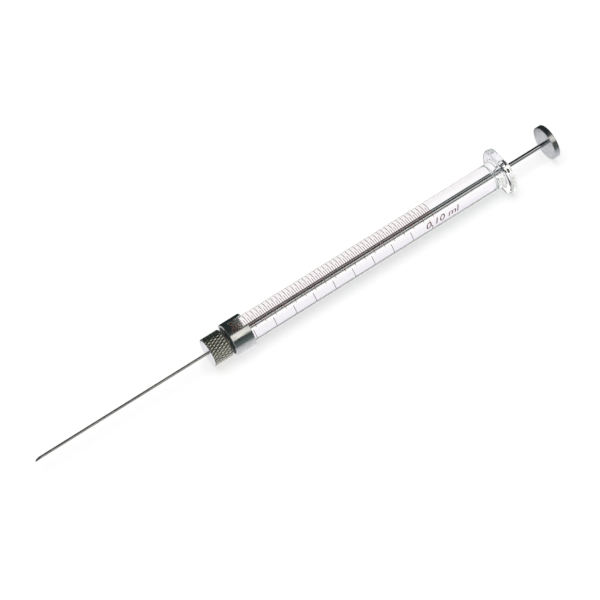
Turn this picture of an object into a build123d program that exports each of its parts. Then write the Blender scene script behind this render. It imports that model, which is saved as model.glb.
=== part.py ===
from build123d import *
from math import ceil, cos, pi, radians, sin, sqrt, tan
import os

# A gas-tight microlitre syringe with a removable needle, lying on the lower flat of its flange.
#
# Everything is modelled about the syringe's axis, which is the X axis, with stations measured from
# the front end of the glass (the zero mark): the needle lies at negative stations and the plunger's
# button at positive ones. Up (+Z) is the side of the scale and of the ferrule's viewing slot.
# put_down() then moves each finished solid into the frame of the part: its origin is under the
# middle of the overall length, on the surface that the flange's flat rests on.
#
# All sizes are in millimetres, angles in degrees.

# ---- driving dimensions: scale and glass ----
CAPACITY = 100.0          # cubic millimetres (microlitres) swept over the whole scale
SCALE_LENGTH = 60.0       # from the zero mark to the full mark
DIVISIONS = 100           # graduations on the scale
BARREL_DIAMETER = 7.3
BARREL_LENGTH = 83.7      # front end of the glass to the back of the flange
FRONT_CHAMFER = 0.15      # ground edge at the front end of the glass
FLANGE_DIAMETER = 12.9
FLANGE_THICKNESS = 2.15
FLANGE_ACROSS_FLATS = 10.2
FLANGE_EDGE = 0.4         # broken edges of the flange
FLARE_LENGTH = 2.4        # where the tube swells into the flange, along the axis
FLARE_HEIGHT = 0.9        # and across it
LEAD_IN_DIAMETER = 3.0    # cone at the back that guides the plunger's tip into the bore
LEAD_IN_DEPTH = 2.6

# ---- driving dimensions: printed scale ----
MARK_WIDTH = 0.13
MARK_THICKNESS = 0.02
MARK_FACET = 21.0         # widest angle that one flat of a mark may span
SHORT_MARK = (-27.0, 4.0)    # ends of each mark round the barrel, from straight up towards +Y
MEDIUM_MARK = (-27.0, 36.0)  # every second division
FIFTH_MARK = (-49.0, 4.0)    # every fifth division that isn't a tenth
TENTH_MARK = (-49.0, 36.0)   # every tenth division
TENTH_DASH = (149.0, 165.0)  # the second dash of every tenth division, on the back of the barrel

# ---- driving dimensions: ferrule ----
FERRULE_DIAMETER = 9.0
SHOULDER_THICKNESS = 1.2  # wall in front of the glass
SLEEVE_DEPTH = 4.4        # how far the sleeve reaches over the glass
SLOT_WIDTH = 3.6          # viewing slot, open at the sleeve's mouth
SLOT_START = 0.35         # station of its closed end
SLOT_CORNER = 0.3
NOSE_DIAMETER = 5.6       # threaded nose
NOSE_LENGTH = 4.1
NOSE_CHAMFER = 0.3
SEAL_BORE = 3.2           # hole through the nose, down to the glass
METAL_EDGE = 0.12         # broken edges of the turned metal parts

# ---- driving dimensions: knurled nut ----
NUT_DIAMETER = 7.65
NUT_LENGTH = 5.1
NUT_STANDOFF = 0.9        # gap between the tightened nut and the ferrule's face
NUT_FACE_WALL = 1.2       # wall that presses on the needle's hub
NUT_HOLE = 1.1            # hole that the needle passes through
NUT_CHAMFER = 0.18
KNURL_STARTS = 24         # grooves of each hand
KNURL_ANGLE = 30.0        # helix angle of the grooves, from the axis
KNURL_DEPTH = 0.36

# ---- driving dimensions: needle ----
NEEDLE_DIAMETER = 0.718
NEEDLE_BORE = 0.168
NEEDLE_EXPOSED = 50.2     # in front of the nut
BEVEL_ANGLE = 20.0
SEAL_LENGTH = 2.9
HUB_COLLAR_DIAMETER = 4.6
HUB_COLLAR_THICKNESS = 0.5

# ---- driving dimensions: plunger ----
ROD_DIAMETER = 1.2
ROD_EXPOSED = 13.1        # between the flange and the button, plunger pushed home
TIP_LENGTH = 4.0
STEM_DIAMETER = 0.7       # end of the rod inside the tip
STEM_LENGTH = 3.0
STEM_BARB = 0.08          # ring that keeps the tip on, above the stem
BUTTON_DIAMETER = 9.4
BUTTON_THICKNESS = 1.6
BUTTON_EDGE = 0.15
BUTTON_SOCKET = 1.1       # depth of the rod in the button

# ---- clearances ----
GLUE_GAP = 0.08           # radial, cement between the glass and the ferrule's sleeve
THREAD_GAP = 0.05         # radial, nut over the nose
SEAL_GAP = 0.03           # radial, seal and hub in the nose
HUB_GAP = 0.02            # axial, hub's collar behind the nut's face and seal before the glass
TIP_GAP = 0.01            # radial, plunger's tip in the bore
INK_GAP = 0.002           # between the glass and the raised ink

# ---- sizes that follow ----
BORE_DIAMETER = sqrt(4 * CAPACITY / (pi * SCALE_LENGTH))
BARREL_RADIUS = BARREL_DIAMETER / 2
BORE_RADIUS = BORE_DIAMETER / 2
FERRULE_FACE = -SHOULDER_THICKNESS
NOSE_END = FERRULE_FACE - NOSE_LENGTH
NUT_BACK = FERRULE_FACE - NUT_STANDOFF
NUT_FRONT = NUT_BACK - NUT_LENGTH
NUT_SEAT = NUT_FRONT + NUT_FACE_WALL
NEEDLE_POINT = NUT_FRONT - NEEDLE_EXPOSED
FLANGE_FRONT = BARREL_LENGTH - FLANGE_THICKNESS
BUTTON_FRONT = BARREL_LENGTH + ROD_EXPOSED
BUTTON_BACK = BUTTON_FRONT + BUTTON_THICKNESS
AXIS_HEIGHT = FLANGE_ACROSS_FLATS / 2
MIDDLE = (NEEDLE_POINT + BUTTON_BACK) / 2


def turned(*outline):
    """A solid of revolution about the axis, from (station, radius) points."""
    return revolve(make_face(Polyline(*outline, close=True)), Axis.X)


def cylinder(start, end, radius):
    """A plain cylinder on the axis between two stations."""
    return turned((start, 0), (end, 0), (end, radius), (start, radius))


def radius_of(point):
    """The distance of a point from the axis."""
    return sqrt(point.Y**2 + point.Z**2)


def mark_solid(station, ends):
    """One raised band of ink at a station, between two angles from straight up, in short flats."""
    first, last = ends
    flats = ceil((last - first) / MARK_FACET)
    facet = radians(last - first) / flats
    # The middle of each flat just clears the glass.
    inner = (BARREL_RADIUS + INK_GAP) / cos(facet / 2)
    outline = []
    for radius, order in ((inner, range(flats + 1)), (inner + MARK_THICKNESS, range(flats, -1, -1))):
        for i in order:
            angle = radians(first) + i * facet
            outline.append((station - MARK_WIDTH / 2, radius * sin(angle), radius * cos(angle)))
    return Solid.extrude(Face(Wire.make_polygon(outline)), Vector(MARK_WIDTH, 0, 0))


def glass_barrel():
    """Thick-walled tube with a flange: bore, flare, lead-in cone and anti-roll flats."""
    flare_foot = (FLANGE_FRONT - FLARE_LENGTH, BARREL_RADIUS)
    flare_top = (FLANGE_FRONT, BARREL_RADIUS + FLARE_HEIGHT)
    flare_centre = (FLANGE_FRONT - FLARE_LENGTH, BARREL_RADIUS + FLARE_HEIGHT)
    flare = EllipticalCenterArc(flare_centre, FLARE_LENGTH, FLARE_HEIGHT, start_angle=270, arc_size=90)
    before = Polyline(
        flare_foot,
        (FRONT_CHAMFER, BARREL_RADIUS),
        (0, BARREL_RADIUS - FRONT_CHAMFER),
        (0, BORE_RADIUS),
        (BARREL_LENGTH - LEAD_IN_DEPTH, BORE_RADIUS),
        (BARREL_LENGTH, LEAD_IN_DIAMETER / 2),
        (BARREL_LENGTH, FLANGE_DIAMETER / 2),
        (FLANGE_FRONT, FLANGE_DIAMETER / 2),
        flare_top,
    )
    glass = revolve(make_face([flare, before]), Axis.X)
    reach = FLANGE_DIAMETER / 2
    for side in (1, -1):
        waste = Box(2 * FLANGE_THICKNESS, 2 * FLANGE_DIAMETER, reach)
        glass -= Pos(FLANGE_FRONT + FLANGE_THICKNESS / 2, 0, side * (AXIS_HEIGHT + reach / 2)) * waste
    rim = [edge for edge in glass.edges() if radius_of(edge @ 0.5) > AXIS_HEIGHT - METAL_EDGE]
    return chamfer(rim, FLANGE_EDGE)


def scale_marks():
    """The printed scale: one raised arc for each division, longer at the second, fifth and tenth.

    The end of the glass is itself the zero mark, so the first arc is that of division one.
    """
    marks = [mark_solid(tenth * SCALE_LENGTH / DIVISIONS, TENTH_DASH) for tenth in range(10, DIVISIONS + 1, 10)]
    for division in range(1, DIVISIONS + 1):
        if division % 10 == 0:
            ends = TENTH_MARK
        elif division % 5 == 0:
            ends = FIFTH_MARK
        elif division % 2 == 0:
            ends = MEDIUM_MARK
        else:
            ends = SHORT_MARK
        marks.append(mark_solid(division * SCALE_LENGTH / DIVISIONS, ends))
    return Compound(marks)


def barrel_ferrule():
    """Plated end fitting: a sleeve on the glass with a viewing slot, and a threaded nose."""
    sleeve_bore = BARREL_RADIUS + GLUE_GAP
    outer = FERRULE_DIAMETER / 2
    body = turned(
        (NOSE_END, SEAL_BORE / 2),
        (NOSE_END, NOSE_DIAMETER / 2 - NOSE_CHAMFER),
        (NOSE_END + NOSE_CHAMFER, NOSE_DIAMETER / 2),
        (FERRULE_FACE, NOSE_DIAMETER / 2),
        (FERRULE_FACE, outer - METAL_EDGE),
        (FERRULE_FACE + METAL_EDGE, outer),
        (SLEEVE_DEPTH - METAL_EDGE, outer),
        (SLEEVE_DEPTH, outer - METAL_EDGE),
        (SLEEVE_DEPTH, sleeve_bore),
        (0, sleeve_bore),
        (0, SEAL_BORE / 2),
    )
    length = 2 * (SLEEVE_DEPTH - SLOT_START)
    cutter = Box(length, SLOT_WIDTH, outer)
    corners = cutter.edges().filter_by(Axis.Z)
    cutter = fillet(corners, SLOT_CORNER)
    return body - Pos(SLOT_START + length / 2, 0, outer / 2 + BORE_DIAMETER) * cutter


def knurl_point(radius, angle, station):
    """A corner of the knurl, on a cylinder about the axis."""
    return Vector(station, radius * cos(angle), radius * sin(angle))


def knurled_bar():
    """A bar with a diamond knurl, longer than the nut: a lattice of diamonds closed at both ends."""
    half_angle = pi / KNURL_STARTS
    half_pitch = pi * NUT_DIAMETER / KNURL_STARTS / tan(radians(KNURL_ANGLE)) / 2
    rows = ceil(NUT_LENGTH / half_pitch) + 2
    first = (NUT_FRONT + NUT_BACK - rows * half_pitch) / 2
    root = NUT_DIAMETER / 2 - KNURL_DEPTH

    def node(row, column):
        return knurl_point(root, column * half_angle, first + row * half_pitch)

    faces = []
    for row in range(1, rows):
        for column in range((row + 1) % 2, 2 * KNURL_STARTS, 2):
            peak = knurl_point(NUT_DIAMETER / 2, column * half_angle, first + row * half_pitch)
            around = [(row, column - 1), (row - 1, column), (row, column + 1), (row + 1, column)]
            corners = [node(*place) for place in around]
            for i in range(4):
                faces.append(Face(Wire.make_polygon([corners[i - 1], corners[i], peak])))
    for end, inside in ((0, 1), (rows, rows - 1)):
        columns = range((inside + 1) % 2, 2 * KNURL_STARTS, 2)
        ring = [node(end, column) for column in columns]
        faces.append(Face(Wire.make_polygon(ring)))
        for column in columns:
            notch = [node(end, column), node(end, column + 2), node(inside, column + 1)]
            faces.append(Face(Wire.make_polygon(notch)))
    return Solid(Shell(faces))


def needle_nut():
    """Knurled nut: presses the hub of the needle into the nose of the ferrule."""
    outer = NUT_DIAMETER / 2
    bore = NOSE_DIAMETER / 2 + THREAD_GAP
    envelope = turned(
        (NUT_FRONT, NUT_HOLE / 2),
        (NUT_FRONT, outer - NUT_CHAMFER),
        (NUT_FRONT + NUT_CHAMFER + KNURL_DEPTH, outer + KNURL_DEPTH),
        (NUT_BACK - NUT_CHAMFER - KNURL_DEPTH, outer + KNURL_DEPTH),
        (NUT_BACK, outer - NUT_CHAMFER),
        (NUT_BACK, bore),
        (NUT_SEAT, bore),
        (NUT_SEAT, NUT_HOLE / 2),
    )
    return envelope & knurled_bar()


def needle_tube():
    """The cannula: flush with the seal inside the nose, bevelled at the point."""
    radius = NEEDLE_DIAMETER / 2
    tube = cylinder(NEEDLE_POINT, -HUB_GAP, radius) - cylinder(NEEDLE_POINT, -HUB_GAP, NEEDLE_BORE / 2)
    slope = tan(radians(BEVEL_ANGLE))
    bevel = 2 * radius / slope
    # Waste above a plane that climbs from the lower side of the point to the tube's upper side.
    waste = make_face(
        Polyline(
            (NEEDLE_POINT - bevel, -radius - bevel * slope),
            (NEEDLE_POINT + 2 * bevel, radius + bevel * slope),
            (NEEDLE_POINT - bevel, radius + bevel * slope),
            close=True,
        )
    )
    return tube - extrude(Rot(90, 0, 0) * waste, radius, both=True)


def needle_seal():
    """Soft sleeve on the needle that seals against the end of the glass."""
    radius = SEAL_BORE / 2 - SEAL_GAP
    sleeve = cylinder(-HUB_GAP - SEAL_LENGTH, -HUB_GAP, radius)
    return sleeve - cylinder(-HUB_GAP - SEAL_LENGTH, -HUB_GAP, NEEDLE_DIAMETER / 2)


def needle_hub():
    """Turned metal bush on the needle: a shank behind the seal and a collar for the nut to press."""
    seal_end = -HUB_GAP - SEAL_LENGTH
    collar_front = NUT_SEAT + HUB_GAP
    collar_back = collar_front + HUB_COLLAR_THICKNESS
    shank = SEAL_BORE / 2 - SEAL_GAP
    return turned(
        (collar_front, NEEDLE_DIAMETER / 2),
        (collar_front, HUB_COLLAR_DIAMETER / 2 - METAL_EDGE),
        (collar_front + METAL_EDGE, HUB_COLLAR_DIAMETER / 2),
        (collar_back, HUB_COLLAR_DIAMETER / 2),
        (collar_back, shank),
        (seal_end, shank),
        (seal_end, NEEDLE_DIAMETER / 2),
    )


def plunger_rod():
    """Straight wire from the tip to the button, with a barbed stem inside the tip."""
    tip_back = HUB_GAP + TIP_LENGTH
    stem_front = tip_back - STEM_LENGTH
    stem = STEM_DIAMETER / 2
    barb_back = stem_front + STEM_LENGTH / 3
    return turned(
        (stem_front, 0),
        (stem_front, stem),
        (barb_back, stem + STEM_BARB),
        (barb_back, stem),
        (tip_back, stem),
        (tip_back, ROD_DIAMETER / 2),
        (BUTTON_FRONT + BUTTON_SOCKET, ROD_DIAMETER / 2),
        (BUTTON_FRONT + BUTTON_SOCKET, 0),
    )


def plunger_tip():
    """Soft piston pushed over the rod's barbed stem."""
    body = cylinder(HUB_GAP, HUB_GAP + TIP_LENGTH, BORE_RADIUS - TIP_GAP)
    return body - plunger_rod()


def plunger_button():
    """Flat disc that the thumb presses, with a socket for the rod."""
    outer = BUTTON_DIAMETER / 2
    return turned(
        (BUTTON_FRONT + BUTTON_SOCKET, 0),
        (BUTTON_FRONT + BUTTON_SOCKET, ROD_DIAMETER / 2),
        (BUTTON_FRONT, ROD_DIAMETER / 2),
        (BUTTON_FRONT, outer - BUTTON_EDGE),
        (BUTTON_FRONT + BUTTON_EDGE, outer),
        (BUTTON_BACK - BUTTON_EDGE, outer),
        (BUTTON_BACK, outer - BUTTON_EDGE),
        (BUTTON_BACK, 0),
    )


def put_down(shape):
    """Move a shape from the axis to its place over the surface that the syringe lies on."""
    return Pos(-MIDDLE, 0, AXIS_HEIGHT) * shape


PIECES = [
    glass_barrel,
    scale_marks,
    barrel_ferrule,
    needle_nut,
    needle_tube,
    needle_seal,
    needle_hub,
    plunger_rod,
    plunger_tip,
    plunger_button,
]

os.makedirs("parts", exist_ok=True)
for piece in PIECES:
    export_step(put_down(piece()), f"parts/{piece.__name__}.step")

print("origin at station", round(MIDDLE, 3), "overall length", round(BUTTON_BACK - NEEDLE_POINT, 3))
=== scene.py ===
"""Visual model of a gas-tight microlitre syringe with a removable needle.

Every piece is modelled in millimetres about the syringe's own axis, which is the X axis, with
stations measured from the front end of the glass. The side that carries the scale is up (+Z).
finish_piece() then moves the mesh into the frame of the part, in metres.
"""

import logging
import math
from dataclasses import dataclass
from enum import Enum
from typing import Any, Callable, Iterable, Sequence

import bmesh
import bpy
from mathutils import Matrix, Quaternion, Vector


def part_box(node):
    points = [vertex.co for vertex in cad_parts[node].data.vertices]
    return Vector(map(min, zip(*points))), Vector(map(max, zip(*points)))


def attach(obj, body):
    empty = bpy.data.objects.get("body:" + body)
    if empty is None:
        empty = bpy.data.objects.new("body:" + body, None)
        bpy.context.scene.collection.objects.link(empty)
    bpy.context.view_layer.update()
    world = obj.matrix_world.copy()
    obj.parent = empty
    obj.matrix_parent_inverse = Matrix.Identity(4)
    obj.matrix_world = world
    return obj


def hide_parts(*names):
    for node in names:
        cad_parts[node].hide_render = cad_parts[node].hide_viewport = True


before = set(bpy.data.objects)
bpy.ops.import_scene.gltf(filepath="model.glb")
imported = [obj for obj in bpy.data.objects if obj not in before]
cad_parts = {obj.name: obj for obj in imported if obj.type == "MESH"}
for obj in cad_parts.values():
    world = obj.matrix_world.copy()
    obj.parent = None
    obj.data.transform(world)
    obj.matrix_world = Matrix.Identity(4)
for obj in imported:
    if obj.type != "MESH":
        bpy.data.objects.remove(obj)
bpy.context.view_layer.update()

LOG = logging.getLogger("microsyringe")
MM = 0.001

Point = tuple[float, float]
Colour = tuple[float, float, float, float]
Warp = Callable[[float, float, float], float]
Mesh = bpy.types.Mesh
Node = bpy.types.Node
Socket = bpy.types.NodeSocket
Tree = bpy.types.NodeTree


class Body(Enum):
    """The moving bodies of the syringe."""

    BARREL = "barrel"
    PLUNGER = "plunger"
    NEEDLE = "needle"
    NUT = "nut"


class Slot(Enum):
    """The material slots of the part's record."""

    GLASS = "glass"
    INK = "ink"
    NICKEL = "nickel_plate"
    KNURL = "knurled_nickel"
    STAINLESS = "stainless"
    PTFE = "ptfe"


# ---- measurements taken from the frame ----


@dataclass(frozen=True)
class Datum:
    """Where the syringe's axis and its zero station lie in the frame of the part."""

    zero: float
    height: float

    @classmethod
    def from_frame(cls) -> "Datum":
        """Read the datum from the glass and the plunger's rod.

        Returns:
            The datum.
        """
        low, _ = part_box("glass_barrel")
        rod_low, rod_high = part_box("plunger_rod")
        return cls(zero=low.x, height=(rod_low.z + rod_high.z) / 2)

    def matrix(self) -> Matrix:
        """The move from millimetres about the axis to metres in the frame."""
        return Matrix.Translation((self.zero, 0.0, self.height)) @ Matrix.Scale(MM, 4)


DATUM = Datum.from_frame()


@dataclass(frozen=True)
class Span:
    """The stations between which a CAD node lies, and its outer radius, in millimetres."""

    start: float
    end: float
    radius: float

    @classmethod
    def of(cls, node: str) -> "Span":
        """Measure a CAD node.

        Args:
            node: the node's name.

        Returns:
            Its span along the axis, and half its width across.
        """
        low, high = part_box(node)
        return cls(
            start=(low.x - DATUM.zero) / MM,
            end=(high.x - DATUM.zero) / MM,
            radius=(high.y - low.y) / 2 / MM,
        )


# ---- node trees ----


def srgb(code: str) -> Colour:
    """Convert an sRGB colour code to linear values.

    Args:
        code: six hexadecimal digits, such as "d8d4cc".

    Returns:
        Linear red, green and blue, and an alpha of one.
    """

    def linear(level: float) -> float:
        """One channel, from display level to linear light."""
        return level / 12.92 if level <= 0.04045 else ((level + 0.055) / 1.055) ** 2.4

    red, green, blue = (linear(int(code[i : i + 2], 16) / 255) for i in (0, 2, 4))
    return red, green, blue, 1.0


def grey(level: float) -> Colour:
    """A neutral colour of a linear level."""
    return level, level, level, 1.0


class Sheet:
    """A node tree with short ways to add to it."""

    def __init__(self, tree: Tree) -> None:
        """Keep the tree that the nodes go into."""
        self.tree = tree

    @classmethod
    def fresh(cls, owner: Any) -> "Sheet":
        """The emptied node tree of a material or a world.

        Args:
            owner: the material or the world, whose nodes are removed.

        Returns:
            A sheet on its node tree.
        """
        owner.use_nodes = True
        owner.node_tree.nodes.clear()
        return cls(owner.node_tree)

    def feed(self, node: Node, inputs: dict[Any, Any]) -> None:
        """Set or link the inputs of a node.

        Args:
            node: the node.
            inputs: for each input, by name or index, a plain value or the output that feeds it.
        """
        for key, value in inputs.items():
            if isinstance(value, Socket):
                self.tree.links.new(value, node.inputs[key])
            else:
                node.inputs[key].default_value = value

    def node(self, kind: str, inputs: dict[Any, Any] | None = None, **settings: Any) -> Node:
        """Add a node with its settings and links.

        Args:
            kind: the node's type name.
            inputs: what feed() takes.
            **settings: attributes of the node.

        Returns:
            The new node.
        """
        made = self.tree.nodes.new(kind)
        for name, value in settings.items():
            setattr(made, name, value)
        self.feed(made, inputs or {})
        return made

    def out(self, kind: str, inputs: dict[Any, Any] | None = None, pick: Any = 0, **settings: Any) -> Socket:
        """One output of a new node, by index or name."""
        return self.node(kind, inputs, **settings).outputs[pick]

    def calc(self, operation: str, *values: Any, clamp: bool = False) -> Socket:
        """The result of one maths operation on numbers or outputs."""
        return self.out("ShaderNodeMath", dict(enumerate(values)), operation=operation, use_clamp=clamp)

    def blend(self, factor: Any, low: Any, high: Any) -> Socket:
        """A number between low and high."""
        return self.out("ShaderNodeMix", {0: factor, 2: low, 3: high}, data_type="FLOAT")

    def tint(self, factor: Any, low: Any, high: Any) -> Socket:
        """A colour between low and high."""
        return self.out("ShaderNodeMix", {0: factor, 6: low, 7: high}, 2, data_type="RGBA")

    def ramp(self, value: Any, start: float, end: float, low: float = 0.0, high: float = 1.0) -> Socket:
        """A number carried from the range start..end to low..high, clamped."""
        inputs = {"Value": value, "From Min": start, "From Max": end, "To Min": low, "To Max": high}
        return self.out("ShaderNodeMapRange", inputs, "Result")

    def fade(self, value: Any, span: Point, low: Any, high: Any) -> Socket:
        """A colour that goes from low to high as a number crosses a span."""
        return self.tint(self.ramp(value, *span), low, high)

    def here(self, kind: str = "Object") -> Socket:
        """The shaded point, in the piece's own coordinates unless others are named."""
        return self.out("ShaderNodeTexCoord", None, kind)

    def split(self, vector: Any) -> Sequence[Socket]:
        """The X, Y and Z of a vector."""
        return self.node("ShaderNodeSeparateXYZ", {0: vector}).outputs[:]


# ---- finishes ----


@dataclass(frozen=True)
class Finish:
    """A named material on the surface of one or more pieces."""

    name: str
    slot: Slot

    def material(self) -> bpy.types.Material:
        """The Blender material, built the first time that it is asked for.

        Returns:
            The material, the same one each time.
        """
        found = bpy.data.materials.get(self.name)
        if found:
            return found
        made = bpy.data.materials.new(self.name)
        sheet = Sheet.fresh(made)
        shader = sheet.node("ShaderNodeBsdfPrincipled")
        self.dress(sheet, shader)
        sheet.node("ShaderNodeOutputMaterial", {"Surface": shader.outputs["BSDF"]})
        return made

    def dress(self, sheet: Sheet, shader: Node) -> None:
        """Set the Principled BSDF of this finish, in its node tree."""
        raise NotImplementedError

    @staticmethod
    def grain(sheet: Sheet, stretch: Vector, detail: float = 3.0) -> Socket:
        """Noise in the piece's own coordinates.

        Args:
            sheet: the material's node tree.
            stretch: size of a fleck along X, Y and Z, in millimetres.
            detail: number of finer octaves.

        Returns:
            The noise value, about 0.3 to 0.7.
        """
        scale = tuple(1 / (size * MM) for size in stretch)
        mapped = sheet.out("ShaderNodeMapping", {"Vector": sheet.here(), "Scale": scale})
        return sheet.out("ShaderNodeTexNoise", {"Vector": mapped, "Scale": 1.0, "Detail": detail})

    @staticmethod
    def radius(sheet: Sheet) -> Socket:
        """Distance from the syringe's axis, in millimetres.

        Args:
            sheet: the material's node tree.

        Returns:
            The socket that carries the distance.
        """
        shift = (0.0, 0.0, -DATUM.height)
        centred = sheet.out("ShaderNodeMapping", {"Vector": sheet.here(), "Location": shift})
        crosswise = {0: centred, 1: (0.0, 1.0, 1.0)}
        across = sheet.out("ShaderNodeVectorMath", crosswise, operation="MULTIPLY")
        length = sheet.out("ShaderNodeVectorMath", {0: across}, "Value", operation="LENGTH")
        return sheet.calc("DIVIDE", length, MM)


@dataclass(frozen=True)
class BorosilicateGlass(Finish):
    """Clear drawn tube glass: gives sharp refraction, with draw lines too faint to see by themselves."""

    ior: float = 1.474
    draw_line: float = 0.00004

    def dress(self, sheet: Sheet, shader: Node) -> None:
        """Clear transmission with faint long draw lines in the surface.

        Args:
            sheet: the material's node tree.
            shader: its Principled BSDF.
        """
        lines = self.grain(sheet, Vector((40.0, 1.2, 1.2)), detail=1.0)
        relief = {"Height": lines, "Strength": 0.12, "Distance": self.draw_line}
        look = {"Base Color": srgb("fdfefe"), "Roughness": 0.0, "IOR": self.ior, "Transmission Weight": 1.0}
        sheet.feed(shader, look | {"Normal": sheet.out("ShaderNodeBump", relief)})


@dataclass(frozen=True)
class FiredInk(Finish):
    """Ceramic ink fired on the glass: gives dark maroon lines with a dry, slightly uneven edge."""

    thick: str = "6e2c26"
    thin: str = "9a584e"

    def dress(self, sheet: Sheet, shader: Node) -> None:
        """Maroon that thins out in flecks.

        Args:
            sheet: the material's node tree.
            shader: its Principled BSDF.
        """
        flecks = self.grain(sheet, Vector((0.12, 0.12, 0.12)))
        colour = sheet.fade(flecks, (0.4, 0.65), srgb(self.thick), srgb(self.thin))
        sheet.feed(shader, {"Base Color": colour, "Roughness": sheet.ramp(flecks, 0.3, 0.7, 0.4, 0.65)})


@dataclass(frozen=True)
class TurnedMetal(Finish):
    """Metal turned on a lathe: gives a bright face with fine rings round the axis."""

    shade: str = "d2d2d4"
    worn: str = "c2c3c6"
    roughness: float = 0.19
    ring: float = 0.05
    depth: float = 0.0012

    def dress(self, sheet: Sheet, shader: Node) -> None:
        """Reflective metal with rings of a lathe tool and faint handling marks.

        Args:
            sheet: the material's node tree.
            shader: its Principled BSDF.
        """
        self.plate(sheet, shader, self.grain(sheet, Vector((1.6, 0.9, 0.9))), (0.35, 0.7), 1.35)
        rings = self.grain(sheet, Vector((self.ring, 60.0, 60.0)), detail=2.0)
        relief = {"Height": rings, "Strength": 0.35, "Distance": self.depth * MM}
        sheet.feed(shader, {"Normal": sheet.out("ShaderNodeBump", relief)})

    def plate(self, sheet: Sheet, shader: Node, marks: Socket, span: Point, dull: float) -> None:
        """Reflective metal that wears along its marks.

        Args:
            sheet: the material's node tree.
            shader: its Principled BSDF.
            marks: noise that tells worn from bright.
            span: the noise values between which the wear sets in.
            dull: how much rougher the worn metal is.
        """
        colour = sheet.fade(marks, span, srgb(self.shade), srgb(self.worn))
        rough = sheet.ramp(marks, *span, self.roughness * 0.8, self.roughness * dull)
        sheet.feed(shader, {"Base Color": colour, "Roughness": rough, "Metallic": 1.0})


@dataclass(frozen=True)
class DrawnMetal(TurnedMetal):
    """Metal drawn through a die: gives long faint streaks along the axis."""

    def dress(self, sheet: Sheet, shader: Node) -> None:
        """Reflective metal with streaks along the wire or tube."""
        streaks = self.grain(sheet, Vector((9.0, self.ring, self.ring)), detail=2.0)
        self.plate(sheet, shader, streaks, (0.35, 0.65), 1.3)


@dataclass(frozen=True)
class KnurledMetal(TurnedMetal):
    """Plated knurl: gives bright points over grooves that darken towards their foot in painted shade."""

    crest: float = 3.8
    root: float = 3.65
    # colour of the painted shade at the foot of the grooves
    grime: str = "52524d"
    face: str = "dcdce2"

    def dress(self, sheet: Sheet, shader: Node) -> None:
        """Reflective metal with painted shade that darkens it towards the foot of the grooves, where it also
        roughens.

        Args:
            sheet: the material's node tree.
            shader: its Principled BSDF.
        """
        flecks = self.grain(sheet, Vector((0.25, 0.25, 0.25)))
        radius = self.radius(sheet)
        uneven = sheet.ramp(flecks, 0.35, 0.65, -0.12, 0.12)
        height = sheet.calc("ADD", sheet.ramp(radius, self.root, self.crest), uneven)
        inside = sheet.ramp(radius, self.root - 0.1, self.root - 0.02, 1.0, 0.0)
        unshaded = sheet.calc("MAXIMUM", height, inside, clamp=True)
        plate = sheet.tint(inside, srgb(self.shade), srgb(self.face))
        # painted shade: the plate colour darkens to the groove shade colour towards the foot of the grooves,
        # a little unevenly
        colour = sheet.tint(unshaded, srgb(self.grime), plate)
        rough = sheet.blend(unshaded, self.roughness * 1.8, self.roughness)
        sheet.feed(shader, {"Base Color": colour, "Roughness": rough, "Metallic": 1.0})


@dataclass(frozen=True)
class CementedPlate(TurnedMetal):
    """Turned metal round glass: gives a bright outside and a dull bore where the cement sits, in painted
    shade that is darkest deep in and lightens towards the mouth.
    """

    bore: float = 3.82
    mouth: float = 4.4
    # cement colour in painted shade, as it is deep in the bore
    cement: str = "56625f"
    lit_cement: str = "c8d4d1"

    def dress(self, sheet: Sheet, shader: Node) -> None:
        """Turned metal outside the bore's radius, dull grey inside it, the grey a painted shade that lightens
        towards the mouth.

        Args:
            sheet: the material's node tree.
            shader: its Principled BSDF.
        """
        super().dress(sheet, shader)
        inside = sheet.ramp(self.radius(sheet), self.bore, self.bore + 0.04, 1.0, 0.0)
        # painted shade in the bore: darkest deep in, with painted light towards the mouth
        along = sheet.calc("SUBTRACT", sheet.split(sheet.here())[0], DATUM.zero)
        lit = (self.mouth * MM / 4, self.mouth * MM)
        cement = sheet.fade(along, lit, srgb(self.cement), srgb(self.lit_cement))
        for name, dull in (("Base Color", cement), ("Roughness", 0.6), ("Metallic", 0.0)):
            bright = shader.inputs[name]
            found = bright.links[0].from_socket if bright.links else bright.default_value
            mix = sheet.tint if name == "Base Color" else sheet.blend
            sheet.feed(shader, {name: mix(inside, found, dull)})


@dataclass(frozen=True)
class Fluoropolymer(Finish):
    """PTFE: gives a waxy white with soft edges."""

    shade: str = "eeeeea"

    def dress(self, sheet: Sheet, shader: Node) -> None:
        """Waxy white, with faint cloudiness.

        Args:
            sheet: the material's node tree.
            shader: its Principled BSDF.
        """
        cloud = self.grain(sheet, Vector((0.8, 0.8, 0.8)))
        colour = sheet.fade(cloud, (0.35, 0.65), srgb(self.shade), srgb("e2e2dc"))
        look = {"Base Color": colour, "Roughness": sheet.ramp(cloud, 0.3, 0.7, 0.42, 0.55)}
        sheet.feed(shader, look | {"Subsurface Weight": 0.2, "Subsurface Scale": 0.0006})


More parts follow.
